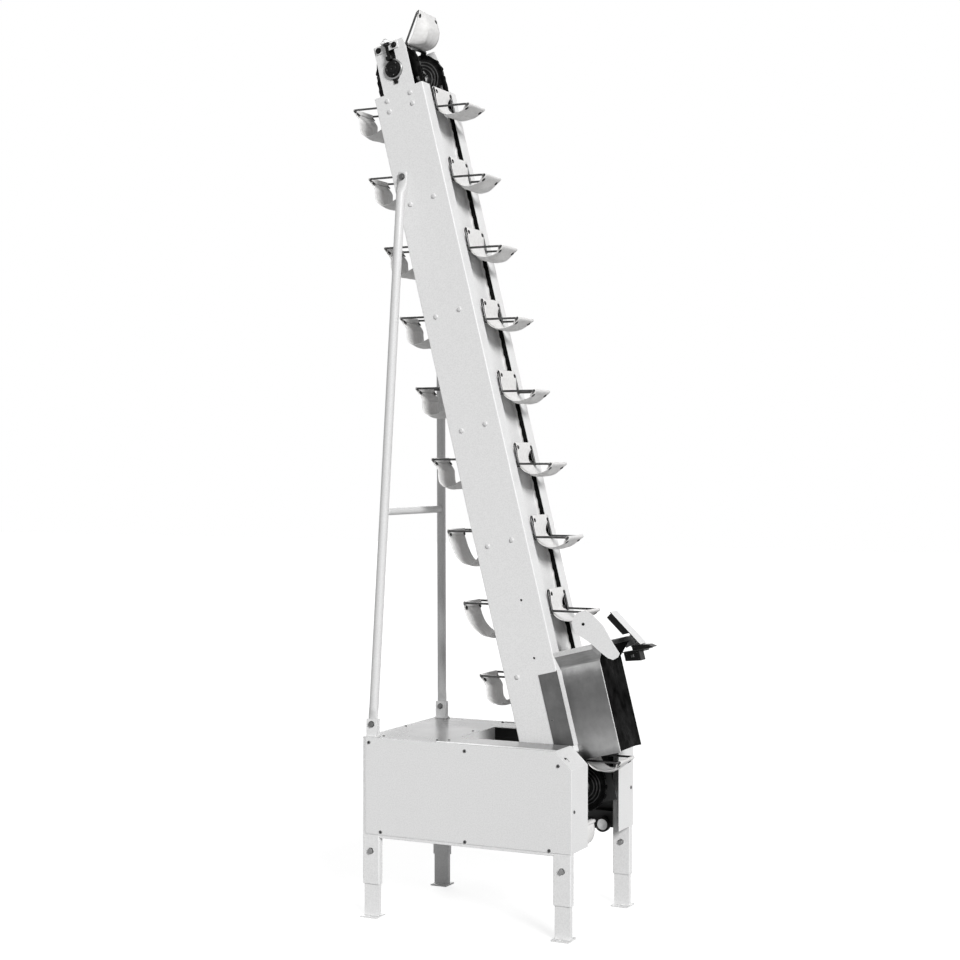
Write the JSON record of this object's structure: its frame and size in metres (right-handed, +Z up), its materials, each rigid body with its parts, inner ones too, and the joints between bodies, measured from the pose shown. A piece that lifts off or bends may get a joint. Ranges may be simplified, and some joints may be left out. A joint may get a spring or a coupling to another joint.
{
  "type": "inclined bucket elevator",
  "caption": "Inclined bucket elevator: leaning channel mast with sling pockets on two side chains, over a panelled cabinet on legs, with stays and a stainless infeed chute.",
  "frame": {"origin": "floor level in the middle of the four feet", "axes": "+X towards the infeed side, -Y out of the broad near side, +Z up"},
  "size_m": [0.86, 0.462, 2.4892],
  "materials": {
    "frame_paint": "satin white-grey paint",
    "white_paint": "fine hammered white-grey powder coat",
    "stainless": "brushed stainless sheet",
    "steel": "zinc plated steel",
    "chain_steel": "oiled dark chain steel",
    "guide_plastic": "white slide plastic",
    "cast_black": "dark painted casting",
    "sling_cloth": "white coated cloth",
    "wire_steel": "bright stainless wire and plate",
    "black_plastic": "black plastic"
  },
  "bodies": {
    "machine_frame": {"corner_posts": "frame_paint", "bottom_rails": "frame_paint", "top_rails": "frame_paint", "mast_mounts": "frame_paint", "near_panel": "white_paint", "far_panel": "white_paint", "rear_panel": "white_paint", "top_sheet": "white_paint", "mast_near": "white_paint", "mast_far": "white_paint", "mast_webs": "white_paint", "head_plates": "white_paint", "take_up_brackets": "white_paint", "stay_near": "white_paint", "stay_far": "white_paint", "stay_crossbar": "white_paint", "stay_feet": "white_paint", "near_paddle": "white_paint", "far_arm": "white_paint", "chute": "stainless", "leg_bolts": "steel", "panel_screws": "steel", "mast_bolts": "steel", "stay_bolts": "steel", "take_up_screws": "chain_steel", "chain_guides": "guide_plastic", "head_bearings": "cast_black", "tail_bearings": "cast_black", "gear_unit": "cast_black", "motor": "cast_black", "sensor": "black_plastic", "round_socket": "black_plastic", "socket_clip": "black_plastic"},
    "front_run": {"front_chain": "chain_steel", "front_frames": "wire_steel", "front_slings": "sling_cloth", "pocket_bolts_front": "steel"},
    "rear_run": {"rear_chain": "chain_steel", "rear_frames": "wire_steel", "rear_slings": "sling_cloth", "pocket_bolts_rear": "steel"},
    "head_turn": {"head_shaft": "steel", "head_sprockets": "chain_steel", "head_chain": "chain_steel", "head_frame": "wire_steel", "head_sling": "sling_cloth", "pocket_bolts_head": "steel"},
    "tail_turn": {"tail_shaft": "steel", "tail_sprockets": "chain_steel", "tail_chain": "chain_steel", "tail_frame": "wire_steel", "tail_sling": "sling_cloth", "pocket_bolts_tail": "steel"},
    "leg_near_front": {"foot_near_front": "frame_paint"},
    "leg_near_rear": {"foot_near_rear": "frame_paint"},
    "leg_far_front": {"foot_far_front": "frame_paint"},
    "leg_far_rear": {"foot_far_rear": "frame_paint"}
  },
  "joints": [
    {"name": "front_run_travel", "type": "slide", "parent": "machine_frame", "child": "front_run", "axis": [-0.2446, 0, 0.9696], "range_m": [-0.0508, 0.0508]},
    {"name": "rear_run_travel", "type": "slide", "parent": "machine_frame", "child": "rear_run", "axis": [0.2446, 0, -0.9696], "range_m": [-0.0509, 0.0509]},
    {"name": "head_shaft_turn", "type": "hinge", "parent": "machine_frame", "child": "head_turn", "pos_m": [-0.2759, 0, 2.3212], "axis": [0, -1, 0], "range_deg": [-45.2, 45.2]},
    {"name": "tail_shaft_turn", "type": "hinge", "parent": "machine_frame", "child": "tail_turn", "pos_m": [0.22119, 0, 0.35094], "axis": [0, -1, 0], "range_deg": [-45.2, 45.2]},
    {"name": "foot_near_front_height", "type": "slide", "parent": "machine_frame", "child": "leg_near_front", "axis": [0, 0, -1], "range_m": [-0.038, 0.038]},
    {"name": "foot_near_rear_height", "type": "slide", "parent": "machine_frame", "child": "leg_near_rear", "axis": [0, 0, -1], "range_m": [-0.038, 0.038]},
    {"name": "foot_far_front_height", "type": "slide", "parent": "machine_frame", "child": "leg_far_front", "axis": [0, 0, -1], "range_m": [-0.038, 0.038]},
    {"name": "foot_far_rear_height", "type": "slide", "parent": "machine_frame", "child": "leg_far_rear", "axis": [0, 0, -1], "range_m": [-0.038, 0.038]}
  ],
  "couplings": [
    {"joint": "rear_run_travel", "follows": "front_run_travel", "ratio": 1},
    {"joint": "head_shaft_turn", "follows": "front_run_travel", "rad_per_m": 15.461},
    {"joint": "tail_shaft_turn", "follows": "front_run_travel", "rad_per_m": 15.461}
  ]
}
